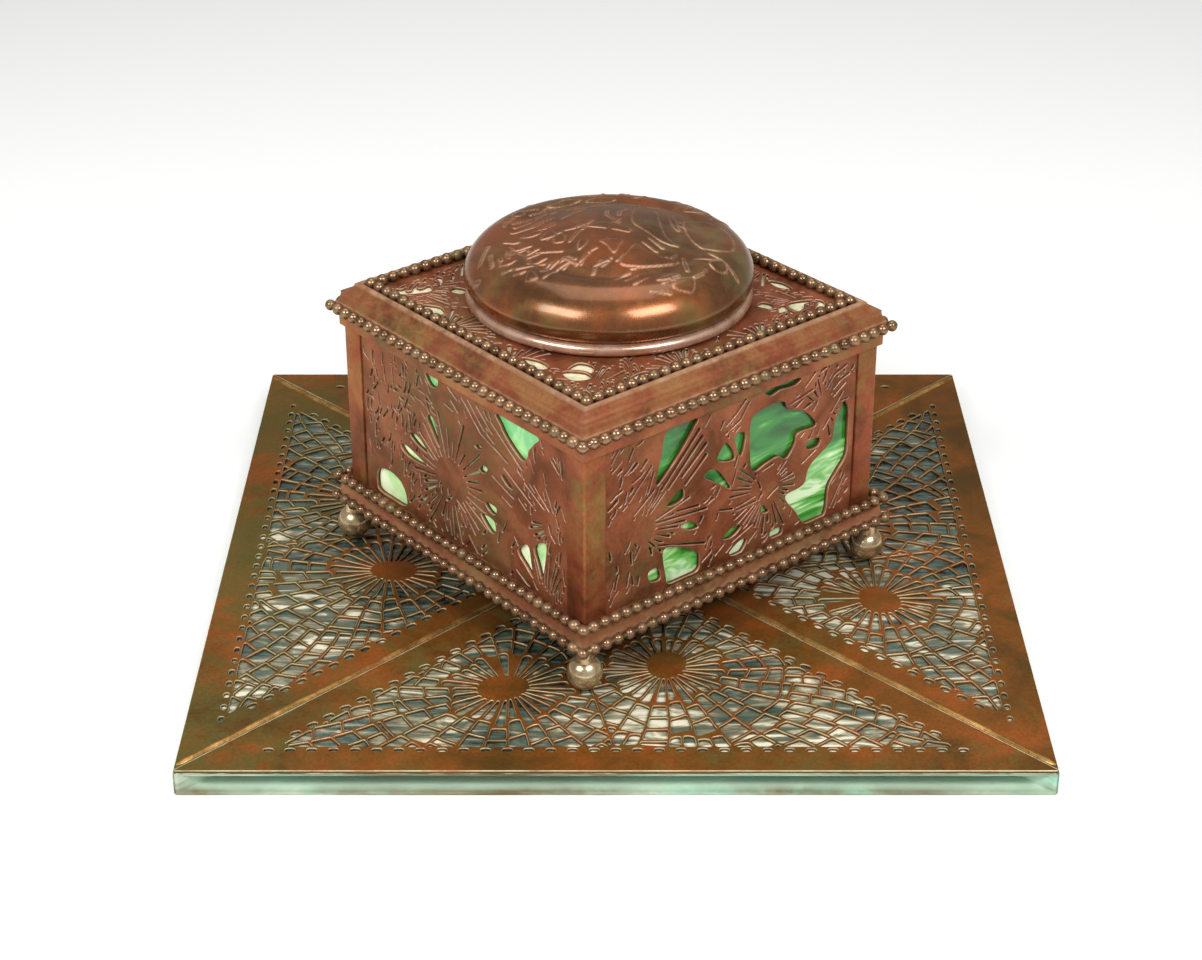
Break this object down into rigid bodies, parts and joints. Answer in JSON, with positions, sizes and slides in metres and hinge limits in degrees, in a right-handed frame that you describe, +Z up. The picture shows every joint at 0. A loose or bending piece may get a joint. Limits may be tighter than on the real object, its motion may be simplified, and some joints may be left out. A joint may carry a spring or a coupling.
{
  "type": "inkwell",
  "caption": "Square footed bronze inkwell with pierced pine-needle panels over slag glass, domed hinged lid and glass pot, on a stand of triangular blotter pockets.",
  "frame": {"origin": "on the table, at the middle of the square stand", "axes": "+Z up, -Y towards the viewer, +X to the viewer's right; the stand's edges lie along X and Y, and the box is turned 40 degrees about +Z"},
  "size_m": [0.21, 0.21, 0.101],
  "materials": {
    "box_bronze": "reddish brown patina, satin",
    "bead_bronze": "rubbed patina, semi-gloss",
    "lid_bronze": "reddish brown patina, polished",
    "stand_bronze": "ochre brown patina, satin",
    "pocket_bronze": "dull brown with verdigris",
    "foot_bronze": "rubbed golden bronze, polished",
    "inner_bronze": "plain dull bronze",
    "hinge_brass": "worn brass, satin",
    "green_glass": "green and white slag glass, glossy",
    "cream_glass": "cream slag glass, glossy",
    "iridescent_glass": "grey-blue iridescent slag glass, glossy",
    "pot_glass": "clear, glossy"
  },
  "bodies": {
    "stand_back": {"stand_back_backing": "pocket_bronze", "stand_back_glass": "iridescent_glass", "stand_back_pocket": "pocket_bronze", "stand_back_top": "stand_bronze"},
    "stand_front": {"stand_front_backing": "pocket_bronze", "stand_front_glass": "iridescent_glass", "stand_front_pocket": "pocket_bronze", "stand_front_top": "stand_bronze"},
    "stand_left": {"stand_left_backing": "pocket_bronze", "stand_left_glass": "iridescent_glass", "stand_left_pocket": "pocket_bronze", "stand_left_top": "stand_bronze"},
    "stand_right": {"stand_right_backing": "pocket_bronze", "stand_right_glass": "iridescent_glass", "stand_right_pocket": "pocket_bronze", "stand_right_top": "stand_bronze"},
    "box": {"ball_foot_back": "foot_bronze", "ball_foot_front": "foot_bronze", "ball_foot_left": "foot_bronze", "ball_foot_right": "foot_bronze", "base_lower_bead_wire": "bead_bronze", "base_moulding_far_left": "box_bronze", "base_moulding_far_right": "box_bronze", "base_moulding_left": "box_bronze", "base_moulding_right": "box_bronze", "base_upper_bead_wire": "bead_bronze", "bottom_plate": "inner_bronze", "box_hinge_leaf": "hinge_brass", "corner_post_back": "box_bronze", "corner_post_front": "box_bronze", "corner_post_left": "box_bronze", "corner_post_right": "box_bronze", "cornice_bead_wire": "bead_bronze", "cornice_far_left": "box_bronze", "cornice_far_right": "box_bronze", "cornice_left": "box_bronze", "cornice_right": "box_bronze", "foot_studs": "hinge_brass", "glass_clips": "inner_bronze", "hinge_pin": "hinge_brass", "ink_pot": "pot_glass", "mouth_collar": "inner_bronze", "side_glass_far_left": "green_glass", "side_glass_far_right": "green_glass", "side_glass_left": "green_glass", "side_glass_right": "green_glass", "side_grille_far_left": "box_bronze", "side_grille_far_right": "box_bronze", "side_grille_left": "box_bronze", "side_grille_right": "box_bronze", "top_bead_wire": "bead_bronze", "top_glass": "cream_glass", "top_grille": "box_bronze"},
    "lid": {"lid_dome": "lid_bronze", "lid_hinge_leaf": "hinge_brass", "lid_liner": "inner_bronze", "lid_rim": "lid_bronze"}
  },
  "joints": [
    {"name": "front_section_slide", "type": "slide", "parent": "stand_back", "child": "stand_front", "axis": [0, -1, 0], "range_m": [0, 0.04]},
    {"name": "left_section_slide", "type": "slide", "parent": "stand_back", "child": "stand_left", "axis": [-1, 0, 0], "range_m": [0, 0.04]},
    {"name": "right_section_slide", "type": "slide", "parent": "stand_back", "child": "stand_right", "axis": [1, 0, 0], "range_m": [0, 0.04]},
    {"name": "box_lift", "type": "slide", "parent": "stand_back", "child": "box", "axis": [0, 0, 1], "range_m": [0, 0.06]},
    {"name": "lid_hinge", "type": "hinge", "parent": "box", "child": "lid", "pos_m": [-0.02708, 0.03019, 0.0837], "axis": [-0.766, -0.6428, 0], "range_deg": [0, 100]}
  ]
}
